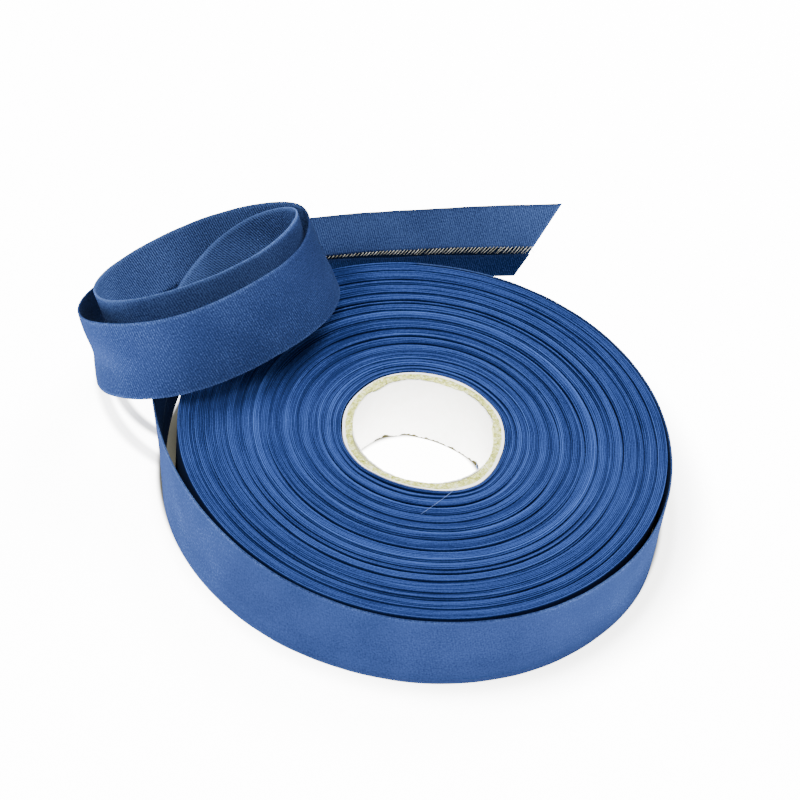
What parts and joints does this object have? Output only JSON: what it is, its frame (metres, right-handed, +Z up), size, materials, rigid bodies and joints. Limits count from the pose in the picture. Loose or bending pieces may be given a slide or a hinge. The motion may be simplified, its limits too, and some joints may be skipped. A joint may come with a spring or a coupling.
{
  "type": "reel of bias tape",
  "caption": "Reel of folded bias tape wound edge up on a cardboard core, its loose outer end coiled over the rim and cut on a slant.",
  "frame": {"origin": "middle of the foot of the whole reel's box, on the surface that the reel lies on", "axes": "+Z up along the core's axis, out of the roll's grooved top; -Y towards the picture's camera, so the free end runs along +X behind the roll"},
  "size_m": [0.149, 0.147, 0.0468],
  "materials": {
    "tape": "matt woven cotton, royal blue, cut on the bias",
    "roll": "matt woven cotton, royal blue, wound edge up",
    "core": "white paper over grey-brown board, matt"
  },
  "bodies": {
    "root": {"core_tube": "core", "wound_roll": "roll", "loose_tape": "tape"}
  },
  "joints": []
}
